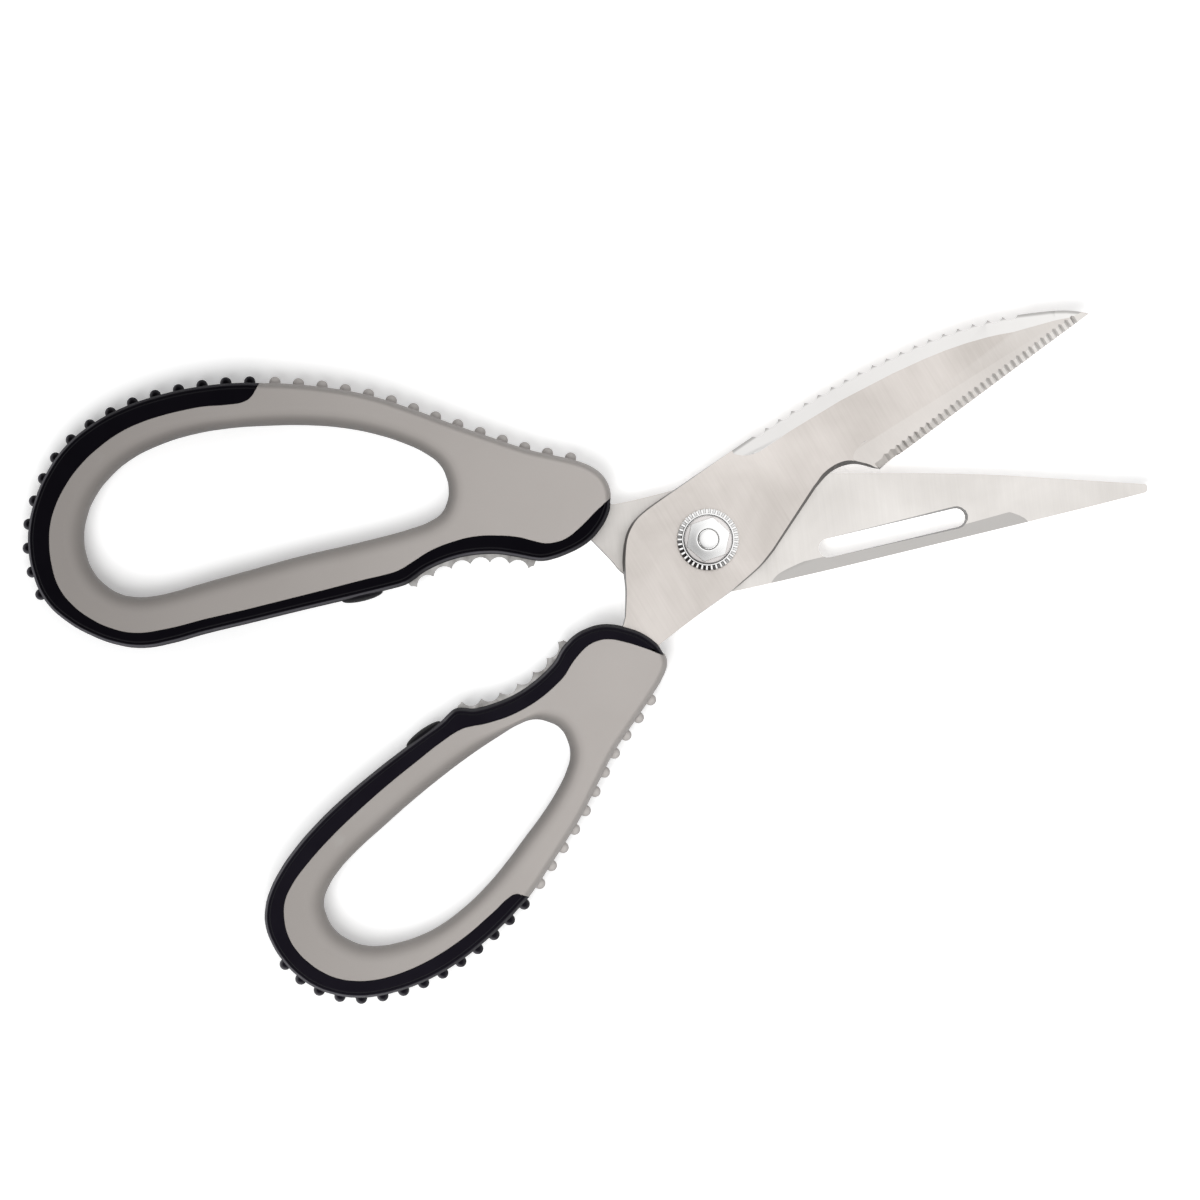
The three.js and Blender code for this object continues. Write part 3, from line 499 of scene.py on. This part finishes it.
def rimStretches(name):  # runs of rim points with the same kind of wall below
    bm = nodeShell(name)
    top = max(v.co.z for v in bm.verts)
    kinds, outs = rimEdges(bm, top)

    def isCorner(vert, kind):
        return any(kinds.get(edge, kind) != kind for edge in vert.link_edges)

    loops = []
    left = dict.fromkeys(kinds)
    while left:
        corners = [e for e in left if any(isCorner(v, kinds[e]) for v in e.verts)]
        edge = corners[0] if corners else next(iter(left))
        at = edge.verts[0]
        if corners and not isCorner(at, kinds[edge]):
            at = edge.verts[1]
        stretches = []
        while edge:
            del left[edge]
            if not stretches or stretches[-1]["kind"] != kinds[edge]:
                stretches.append({"kind": kinds[edge], "points": [], "out": outs[edge]})
            stretches[-1]["points"].append(at.co.copy())
            at = edge.other_vert(at)
            edge = next((e for e in at.link_edges if e in left), None)
        loops.append(stretches)
    bm.free()
    return loops, top


def thinned(points):  # drops points that crowd each other, and keeps both ends
    kept = [points[0]]
    for point in points[1:-1]:
        if min((point - kept[-1]).length, (point - points[-1]).length) > handleShape["leastStep"]:
            kept.append(point)
    return kept + [points[-1]]


def outwardOf(line, closed, out):  # direction out of the face at each point of a line
    count = len(line)
    found = []
    for i in range(count):
        before = line[i - 1] if closed or i > 0 else line[0]
        after = line[(i + 1) % count] if closed or i < count - 1 else line[-1]
        found.append((after - before).normalized().cross(upward))
    return found if found[0].dot(out) > 0 else [-f for f in found]


def rollProfiles(half, isCore):  # rows of distance outward and depth, for each kind of wall
    s = handleShape
    turns = [pi / 2 * i / s["rollSteps"] for i in range(s["rollSteps"] + 1)]
    roll = [(sin(t), s["sideDepth"] * (1 - cos(t))) for t in turns]
    bead = [(share, depth * mm) for share, depth in s["bead"]]
    steps = s["lowerSteps"]
    lower = [(1, s["sideDepth"] + (half - s["sideDepth"]) * i / steps) for i in range(1, steps + 1)]
    r = s["seamRound"]
    reach = s["tongue"] if isCore else 0
    out = s["seamClose"] if isCore else 0
    seam = [(out - s["flatStrip"] - r, 0)]
    seam += [(out - r * (1 - sin(t)), r * (1 - cos(t))) for t in turns]
    seam += [(out, s["tongueDepth"] * s["tongueNeck"]), (reach, s["tongueDepth"]), (reach, half)]
    return {"side": [(0, 0)] + (roll if isCore else bead) + lower, "opening": [(0, 0)] + roll + lower,
            "seam": seam}


def rimRing(stretches):  # points of one closed rim, each with the way out for its kinds of wall
    ring = []
    single = len(stretches) == 1
    for i, stretch in enumerate(stretches):
        following = stretches[(i + 1) % len(stretches)]
        points = stretch["points"] if single else thinned(stretch["points"] + [following["points"][0]])
        line = smoothLine(points, single, handleShape["lineCuts"])
        outs = outwardOf(line, single, stretch["out"])
        for j, (point, out) in enumerate(zip(line, outs)):
            if j == 0 and ring:
                ring[-1][stretch["kind"]] = out  # a corner belongs to both stretches
            else:
                ring.append({"point": point, stretch["kind"]: out})
    if not single:
        last = ring.pop()
        ring[0] = {**last, **ring[0]}
    return ring


def spreadOpening(ring, others):  # a wider rounding where the limb has room for it
    s = handleShape
    room = [min((spot["point"] - o["point"]).length for o in others) for spot in ring]
    most = [max(-s["openingNarrow"], min(s["openingSpread"], gap - s["openingSpare"])) for gap in room]
    extra = most
    for _ in range(s["evenPasses"]):
        extra = [(extra[i - 1] + extra[i] + extra[(i + 1) % len(extra)]) / 3 for i in range(len(extra))]
        extra = [min(pair) for pair in zip(extra, most)]
    for spot, more in zip(ring, extra):
        spot["point"] -= spot["opening"] * more
        spot["width"] = s["openingRound"] + more


def seamWay(spot):  # the way a seam leaves the face at a corner of its rim
    along = spot["seam"].cross(upward)
    return along if along.dot(spot["side"]) > 0 else -along


def easeTips(ring):  # the core's side gives way under a slanting tip of the trim
    s = handleShape
    corners = [spot for spot in ring if "side" in spot and "seam" in spot]
    tips = [c["point"] for c in corners if seamWay(c).dot(c["side"]) < s["leastLean"]]
    for spot in ring:
        if tips and "seam" not in spot:
            near = min((spot["point"] - tip).length for tip in tips)
            spot["relief"] = s["tipRelief"] * max(0, 1 - near / s["tipReach"])


def mouldedBody(node, isCore):
    s = handleShape
    loops, top = rimStretches(node)
    middle = top / 2
    profiles = rollProfiles(top - middle, isCore)
    rings = [rimRing(stretches) for stretches in loops]
    for ring in rings:
        if "opening" in ring[0]:
            spreadOpening(ring, [spot for other in rings if other is not ring for spot in other])
        elif isCore:
            easeTips(ring)
    spots = [spot for ring in rings for spot in ring]

    def place(spot, row):  # where a point of the rim goes in a row of the roll
        point = spot["point"].copy()
        width = spot.get("width", s["sideBulge"]) - spot.get("relief", 0)
        kinds = [k for k in ("side", "opening", "seam") if k in spot]
        for kind in kinds:
            reach = profiles[kind][row][0]
            if kind == "seam":
                reach = min(reach, s["seamClose"]) if len(kinds) > 1 else reach
            else:
                reach = -s["flatStrip"] if row == 0 else reach * width
            if kind == "side" and len(kinds) > 1 and row > 0:  # a tip of the trim runs on along its seam
                along = seamWay(spot)
                point += along * reach / max(along.dot(spot["side"]), s["leastLean"])
            else:
                point += spot[kind] * reach
        point.z = top - profiles[kinds[0]][row][1]
        return point

    bm = bmesh.new()
    column = bm.verts.layers.int.new("column")
    inner = bm.verts.layers.float.new("inner")
    edges = []
    count = 0
    for ring in rings:
        verts = []
        for spot in ring:
            vert = bm.verts.new(place(spot, 0))
            vert[column] = count
            count += 1
            verts.append(vert)
        edges += [bm.edges.new((verts[i - 1], verts[i])) for i in range(len(verts))]
    bmesh.ops.triangle_fill(bm, use_beauty=True, edges=edges, normal=upward)
    for row in range(1, len(profiles["seam"])):
        made = bmesh.ops.extrude_edge_only(bm, edges=edges)["geom"]
        edges = [e for e in made if isinstance(e, bmesh.types.BMEdge)]
        for vert in (v for v in made if isinstance(v, bmesh.types.BMVert)):
            spot = spots[vert[column]]
            vert.co = place(spot, row)
            # inner: how far down an opening wall a point lies, read for the painted shade there
            vert[inner] = profiles["opening"][row][0] if "opening" in spot else 0
    bmesh.ops.mirror(bm, geom=bm.verts[:] + bm.edges[:] + bm.faces[:],
                     matrix=Matrix.Translation((0, 0, -middle)), merge_dist=weld["shell"], axis="Z")
    return bm, middle


def nubPlaces(node, middle):  # tips of the grip nubs, with the way they point
    s = nubShape
    bm = nodeShell(node)
    tips = []
    for vert in bm.verts:
        falls = [(e.other_vert(vert).co - vert.co).dot(vert.normal) for e in vert.link_edges]
        if abs(vert.co.z - middle) < s["midGap"] and max(falls) < -s["leastFall"]:
            tips.append((vert.co.copy(), vert.normal.copy()))
    bm.free()
    return tips


def addNubs(bm, tips):  # round-ended pegs with a small fillet at the foot
    s = nubShape
    wall = s["height"] - s["radius"]
    turns = [pi / 2 * i / s["rows"] for i in range(s["rows"] + 1)]
    profile = [(s["radius"] * sin(t), wall + s["radius"] * cos(t) - s["height"]) for t in turns]
    footTop = -s["height"] + wall * s["footFrom"]
    profile += [(s["radius"] + s["foot"] * (1 - cos(t)) * s["footFlare"], footTop - s["foot"] * sin(t))
                for t in turns[1:5:2]]
    base = -s["height"] - s["sunk"]
    profile += [(s["radius"] + s["foot"], base), (0, base)]
    nub = bm.verts.layers.float.new("nub")
    for tip, outward in tips:
        for vert in spinProfile(bm, profile, standOn(tip, outward), s["sides"]):
            vert[nub] = 1


def makeHandle(side, body):
    parts = (("core", "grey_plastic", greyPlastic), ("trim", "soft_trim", softTrim[side]))
    for part, slot, material in parts:
        node = side + "_handle_" + part
        bm, middle = mouldedBody(node, part == "core")
        tips = nubPlaces(node, middle)
        addNubs(bm, tips)
        finishPiece(bm, side + part.capitalize(), body, material, node)
        print(" ", len(tips), "nubs on", node)


makeHandle("finger", "slotted_half")
makeHandle("thumb", "serrated_half")


# Stops: domed rubber buttons

bumperShape = {
    "radius": 4.5 * mm, "dome": 1.0 * mm, "flange": 0.9 * mm, "round": 0.3 * mm, "sides": 48,
    "rowAngle": 10, "poleEdges": 12,  # a pole of the CAD dome joins more edges than this
}


def makeBumper(side, body):
    s = bumperShape
    node = side + "_handle_bumper"
    bm = nodeShell(node)
    poles = [v for v in bm.verts if len(v.link_edges) > s["poleEdges"]]
    tip = max(poles, key=lambda v: max((v.co - e.other_vert(v).co).dot(v.normal) for e in v.link_edges))
    place = standOn(tip.co.copy(), tip.normal.copy())
    bm.free()
    bm = bmesh.new()
    turns = [radians(a) for a in range(0, 91, s["rowAngle"])]
    inner = s["radius"] - s["round"]
    profile = [(inner * sin(t), -s["dome"] * (1 - cos(t))) for t in turns]
    profile += [(inner + s["round"] * sin(t), -s["dome"] - s["round"] * (1 - cos(t))) for t in turns[1:]]
    base = -s["dome"] - s["flange"]
    profile += [(s["radius"], base), (0, base)]
    spinProfile(bm, profile, place, s["sides"])
    finishPiece(bm, side + "Bumper", body, bumperRubber, node)


makeBumper("finger", "slotted_half")
makeBumper("thumb", "serrated_half")


# Blades and jaws: the CAD shapes with their flat faces joined and edges broken

bladeShape = {
    "edgeBreak": 0.1 * mm, "jawBreak": 0.15 * mm, "breakSteps": 2, "leastEdge": 0.45 * mm, "angle": 28,
    "flat": 0.6, "bent": 0.02, "sharp": 14,  # degrees between faces: joined, split again, shaded apart
    "tipRound": 0.55 * mm, "tipSteps": 5, "tipFrom": 86 * mm, "upright": 0.9, "leastCorner": 0.1 * mm,
    "wallSlope": 0.1, "faceSlope": 0.5, "reach": 5 * mm, "blend": 0.2 * mm, "falloff": 3,
    "darkFrom": 0.25 * mm, "heel": (36.8, -5.5), "tip": (88.8, -0.2),
    # edgeDark: how much painted wall shade the serrations take
    "edgeWidth": 2.0 * mm, "edgeFrom": 0.5 * mm, "edgeDark": 0.85,
    # places on the blade, in mm from the pivot, and how far the cut wall leans out below the rim there
    "slottedCuts": ((51.9, -1.3, 0.5), (50.6, 0.3, 0.4), (51, -2.8, 0.35), (47, 0, 0), (47, -3.8, 0),
                    (-23.4, 2.7, 0.15), (-17.8, -4.2, 0.15)),
    "serratedCuts": ((36.8, -5.5, 0.15), (34.6, -3.6, 0.5), (30.4, -1.1, 0.85), (27.3, -1.1, 0.8),
                     (23.8, -2.2, 0.6), (17, -5.5, 0.5), (10.2, -8.7, 0.42), (4, -10.4, 0.3),
                     (-4, -11.5, 0.1), (-18, -13, 0.05), (-22, -4.8, 0.18), (-19.3, 0, 0.35),
                     (-16.7, 5.4, 0.6), (-13, 9.7, 0.5), (-8.6, 11.4, 0.32), (-1, 12, 0.18), (8, 12.5, 0.1)),
}


def roundEdges(bm, edges, width, steps):
    bmesh.ops.bevel(bm, geom=edges, offset=width, offset_type="OFFSET", affect="EDGES", segments=steps,
                    profile=0.5, material=-1, clamp_overlap=True)


def roundTip(bm, own):  # the upright corners at the end of a blade
    s = bladeShape
    ends = [e for e in bm.edges if all((own @ v.co).x > s["tipFrom"] for v in e.verts)]
    corners = [e for e in ends if e.calc_length() * s["upright"] > s["leastCorner"]
               and abs(e.verts[0].co.z - e.verts[1].co.z) > e.calc_length() * s["upright"]]
    roundEdges(bm, corners, s["tipRound"], s["tipSteps"])
    bm.normal_update()


def slantCuts(bm, own, places):  # draws the rim of the front face in, so that the wall beside it shows, painted dark as shade
    s = bladeShape
    wallShade = bm.verts.layers.float["wallShade"]
    moves = {}
    for vert in bm.verts:
        walls = [f for f in vert.link_faces if abs(f.normal.z) < s["wallSlope"]]
        if walls and any(f.normal.z > s["faceSlope"] for f in vert.link_faces):
            spot = (own @ vert.co).xy
            gaps = [(spot - Vector((x, y)) * mm).length for x, y, width in places]
            if min(gaps) < s["reach"]:
                weights = [1 / (gap + s["blend"]) ** s["falloff"] for gap in gaps]
                width = sum(w * place[2] for w, place in zip(weights, places)) / sum(weights) * mm
                moves[vert] = -sum((f.normal * f.calc_area() for f in walls), Vector()).normalized() * width
                for corner in (v for face in walls for v in face.verts):
                    corner[wallShade] = max(corner[wallShade], min(1, width / s["darkFrom"]))
    for vert, move in moves.items():
        vert.co += move
    bm.normal_update()


def onSerrations(point, own):
    s = bladeShape
    heel, tip = (Vector(s[end]) * mm for end in ("heel", "tip"))
    spot = (own @ point).xy - heel
    along = (tip - heel).normalized()
    return abs(along.cross(spot)) < s["edgeWidth"] and spot.dot(along) > s["edgeFrom"]


def makeSteelPiece(name, node, body, material, width, turn=0, cuts=(), serrated=False):
    s = bladeShape
    bm = nodeShell(node)
    wallShade = bm.verts.layers.float.new("wallShade")
    bmesh.ops.dissolve_limit(bm, angle_limit=radians(s["flat"]), verts=bm.verts, edges=bm.edges,
                             use_dissolve_boundaries=False, delimit=set())
    bm.normal_update()
    own = Matrix.Rotation(turn, 3, "Z")
    if cuts and not serrated:
        roundTip(bm, own)
    if cuts:
        slantCuts(bm, own, cuts)
    if serrated:
        # the serrated edge's small walls take the painted wall shade too
        for vert in bm.verts:
            vert[wallShade] = s["edgeDark"] if onSerrations(vert.co, own) else vert[wallShade]
    edges = [e for e in bm.edges if len(e.link_faces) == 2 and e.calc_face_angle() > radians(s["angle"])
             and e.calc_length() > s["leastEdge"]
             and not (serrated and onSerrations((e.verts[0].co + e.verts[1].co) / 2, own))]
    roundEdges(bm, edges, width, s["breakSteps"])
    walls = [f for f in bm.faces if abs(f.normal.z) < s["wallSlope"] and len(f.verts) > 4]
    bmesh.ops.connect_verts_nonplanar(bm, angle_limit=radians(s["bent"]), faces=walls)
    finishPiece(bm, name, body, material, node, sharp=s["sharp"])


makeSteelPiece("slottedBlade", "slotted_blade", "slotted_half", slottedSteel,
               bladeShape["edgeBreak"], bladeLooks["slotted"]["turn"], bladeShape["slottedCuts"])
makeSteelPiece("serratedBlade", "serrated_blade", "serrated_half", serratedSteel,
               bladeShape["edgeBreak"], bladeLooks["serrated"]["turn"], bladeShape["serratedCuts"], True)
makeSteelPiece("fingerJaw", "finger_jaw", "slotted_half", jawSteel, bladeShape["jawBreak"])
makeSteelPiece("thumbJaw", "thumb_jaw", "serrated_half", jawSteel, bladeShape["jawBreak"])


# Pivot: pieces turned about the axis, their radii and heights in mm

turnedShape = {
    "bolt": ((0, 0), (4.3, 0), (4.7, 0.06), (5.3, 0.35), (5.75, 0.85), (5.95, 1.3), (6, 1.5), (6, 3.05),
             (5.85, 3.2), (3, 3.2), (3, 8.3), (2.0, 8.6), (2.0, 13.85), (1.94, 13.98), (1.82, 14.08),
             (1.76, 14.13), (1.56, 14.21), (1.2, 14.28), (0.7, 14.31), (0, 14.32)),
    "spring": ((2.7, 9.83), (4.62, 9.48), (4.7, 9.52), (4.72, 9.6), (4.72, 9.86), (4.66, 9.93),
               (4.57, 9.95), (2.75, 10.27), (2.7, 10.2), (2.7, 9.83)),
    "steps": 72,
}
nutShape = {
    "flats": 4.0, "roundCorner": 4.56, "draft": 0.1, "bottom": 10.43, "top": 13.63, "bore": 2.1,
    "coneFoot": 12.4, "coneRadius": 4.72, "coneTop": 2.4, "coneRows": 4, "firstCorner": 18.75, "steps": 12,
    "footIn": 0.2, "footUp": 0.15, "shoulderDown": 0.06, "round": 0.05, "topDown": 0.04,
    "lipOut": 0.1, "lipDown": 0.03, "boreDown": 0.2, "sharp": 24,
}
washerShape = {
    "teeth": 37, "rim": 6.2, "root": 5.28, "crest": 10.2, "gapFloor": 9.05, "bottom": 8.73, "bore": 2.7,
    "dish": 4.94, "web": 9.33, "sharp": 32,
    "tooth": ((0.0, 0), (0.16, 0), (0.24, 0.85), (0.34, 1), (0.5, 1), (0.66, 1), (0.76, 0.85), (0.84, 0)),
    "toothDown": 0.15, "edgeShare": 0.75, "footRound": 0.1, "gapDown": 0.05, "edgeIn": 0.03,
    "crestIn": 0.16, "rootOut": 0.14, "rootUp": 0.3, "collarIn": 0.06, "collarDown": 0.05, "dishRound": 0.06,
    "dishSlope": 0.14,
}


def turnedRings(bm, angles, rows):  # a closed skin, with a column of radius and height at each angle
    columns = [[bm.verts.new((r * cos(a) * mm, r * sin(a) * mm, z * mm)) for r, z in rows(a)]
               for a in angles]
    for i, column in enumerate(columns):
        before = columns[i - 1]
        for j in range(len(column)):
            bm.faces.new((before[j - 1], column[j - 1], column[j], before[j]))


def makeTurned(name, node, material, profile):
    bm = bmesh.new()
    points = [(r * mm, z * mm) for r, z in profile]
    spinProfile(bm, points, Matrix.Identity(4), turnedShape["steps"])
    finishPiece(bm, name, "slotted_half", material, node)


def makeNut():
    s = nutShape
    slope = (s["top"] - s["coneFoot"]) / (s["coneRadius"] - s["coneTop"])
    rows = s["coneRows"]

    def column(angle):
        turn = (angle - radians(s["firstCorner"])) % (pi / 3) - pi / 6
        radius = min(s["flats"] / cos(turn), s["roundCorner"])
        shoulder = s["top"] - slope * (radius - s["coneTop"])
        upper = radius - s["draft"]
        wall = [(s["bore"], s["bottom"]), (radius - s["footIn"], s["bottom"]),
                (radius, s["bottom"] + s["footUp"]), (upper, shoulder - s["shoulderDown"])]
        cone = [(upper - s["round"], shoulder + s["round"])]
        cone += [(upper + (s["coneTop"] - upper) * k / rows, shoulder + (s["top"] - shoulder) * k / rows)
                 for k in range(1, rows)]
        end = [(s["coneTop"] + s["round"], s["top"] - s["topDown"]), (s["coneTop"] - s["round"], s["top"]),
               (s["bore"] + s["lipOut"], s["top"] - s["lipDown"]), (s["bore"], s["top"] - s["boreDown"])]
        return wall + cone + end

    bm = bmesh.new()
    count = 6 * s["steps"]
    turnedRings(bm, [radians(s["firstCorner"]) + 2 * pi * i / count for i in range(count)], column)
    finishPiece(bm, "hexNut", "slotted_half", pivotSteel, "hex_nut", sharp=s["sharp"])


def makeWasher():
    s = washerShape
    levels = {(i + share) * 2 * pi / s["teeth"]: level
              for i in range(s["teeth"]) for share, level in s["tooth"]}
    rim, root, crest, dish, gapFloor = (s[key] for key in ("rim", "root", "crest", "dish", "gapFloor"))

    def column(angle):
        top = gapFloor + (crest - s["toothDown"] - gapFloor) * levels[angle]
        edge = gapFloor + (top - gapFloor) * s["edgeShare"]
        return [(s["bore"], s["bottom"]), (rim - s["footRound"], s["bottom"]),
                (rim, s["bottom"] + s["footRound"]), (rim, gapFloor - s["gapDown"]), (rim - s["edgeIn"], edge),
                (rim - s["crestIn"], top), (root + s["rootOut"], top), (root, max(top, gapFloor + s["rootUp"])),
                (root - s["collarIn"], crest - s["collarDown"]), (root - s["rootOut"], crest),
                (dish + s["dishRound"], crest), (dish, crest - s["dishRound"]),
                (dish - s["dishSlope"], s["web"]), (s["bore"], s["web"])]

    bm = bmesh.new()
    turnedRings(bm, sorted(levels), column)
    finishPiece(bm, "toothedWasher", "slotted_half", washerSteel, "toothed_washer",
                sharp=s["sharp"])


makeTurned("pivotBolt", "pivot_bolt", pivotSteel, turnedShape["bolt"])
makeTurned("discSpring", "disc_spring", springSteel, turnedShape["spring"])
makeNut()
makeWasher()


# Studio

studio = {
    "centre": (-21.6 * mm, -12.1 * mm), "field": 240 * mm, "level": 8 * mm, "height": 1.6, "clip": 0.01,
    "horizon": 0.55, "zenith": 1.1, "leastSky": 0.05,
    "lean": (0.36, 0.25, 0, 1), "softLean": (0.38, 0.5, 0, 1), "soft": 0.49,  # for steel, and for the rest
    "keyPlace": (-0.24, -0.42, 1.15), "keySize": 0.62, "keyPower": 10.0,
    "floorSize": 3.0, "floorDrop": 0.05 * mm, "floorRough": 0.95, "floorColour": 1.0, "floorBounce": 0.32,
    "floorLift": (0.17, 0.35), "liftAlong": (-95 * mm, -35 * mm),  # paler shadows beside the blades
}
white = (1, 1, 1, 1)


def greyOf(value):
    return (value, value, value, 1)


def makeFloor():
    s = studio
    bm = bmesh.new()
    bmesh.ops.create_grid(bm, x_segments=2, y_segments=2, size=s["floorSize"])
    mesh = bpy.data.meshes.new("floor")
    bm.to_mesh(mesh)
    bm.free()
    material, tree, shader, place = newMaterial("paperFloor")
    point = place["Object"]
    path = addNode(tree, "ShaderNodeLightPath").outputs
    mirrored = maths(tree, "MAXIMUM", path["Is Glossy Ray"], path["Is Transmission Ray"])
    seen = maths(tree, "MAXIMUM", path["Is Camera Ray"], mirrored)
    paper = mixColour(tree, seen, greyOf(s["floorBounce"]), greyOf(s["floorColour"]))
    fill = spread(tree, axis(tree, point, "X"), *s["liftAlong"], *s["floorLift"])
    tree.links.new(paper, shader.inputs["Base Color"])
    tree.links.new(maths(tree, "MULTIPLY", seen, fill), shader.inputs["Emission Strength"])
    shader.inputs["Emission Color"].default_value = white
    shader.inputs["Roughness"].default_value = s["floorRough"]
    shader.inputs["Specular IOR Level"].default_value = 0.0
    mesh.materials.append(material)
    floor = bpy.data.objects.new("floor", mesh)
    floor.location.z = -s["floorDrop"]
    bpy.context.scene.collection.objects.link(floor)


def makeSky():  # a soft dome, brightest overhead and fuller at the top of the picture
    s = studio
    world = bpy.data.worlds.new("studioSky")
    bpy.context.scene.world = world
    world.use_nodes = True
    tree = world.node_tree
    tree.nodes.clear()
    way = addNode(tree, "ShaderNodeTexCoord").outputs["Generated"]
    path = addNode(tree, "ShaderNodeLightPath").outputs
    dome = spread(tree, axis(tree, way, "Z"), 0, 1, s["horizon"], s["zenith"])
    lean = mixColour(tree, path["Is Glossy Ray"], s["softLean"], s["lean"])
    level = maths(tree, "MAXIMUM", maths(tree, "ADD", dotWith(tree, way, lean), dome), s["leastSky"])
    share = spread(tree, path["Is Glossy Ray"], 0, 1, s["soft"], 1.0)
    glow = addNode(tree, "ShaderNodeBackground", {0: white, 1: maths(tree, "MULTIPLY", level, share)})
    plain = addNode(tree, "ShaderNodeBackground", {0: white, 1: 1.0})
    both = addNode(tree, "ShaderNodeMixShader",
                   {0: path["Is Camera Ray"], 1: glow.outputs[0], 2: plain.outputs[0]})
    addNode(tree, "ShaderNodeOutputWorld", {0: both.outputs[0]})


def makeLamp(name, place, power, size):
    light = bpy.data.lights.new(name, "AREA")
    light.energy = power
    light.size = size
    lamp = bpy.data.objects.new(name, light)
    lamp.location = place
    aim = Vector((*studio["centre"], 0)) - lamp.location
    lamp.rotation_euler = aim.to_track_quat("-Z", "Y").to_euler()
    lamp.visible_glossy = False  # it shapes the plastic and the shadow, the dome shows in the steel
    bpy.context.scene.collection.objects.link(lamp)


def makeCamera():
    s = studio
    lens = bpy.data.cameras.new("camera")
    lens.sensor_fit = "AUTO"
    lens.angle = 2 * atan(s["field"] / 2 / (s["height"] - s["level"]))
    lens.clip_start = s["clip"]
    camera = bpy.data.objects.new("camera", lens)
    camera.location = (*s["centre"], s["height"])
    bpy.context.scene.collection.objects.link(camera)
    bpy.context.scene.camera = camera


makeFloor()
makeSky()
makeLamp("keyLamp", studio["keyPlace"], studio["keyPower"], studio["keySize"])
makeCamera()
bpy.context.scene.view_settings.view_transform = "Standard"
print("studio set")
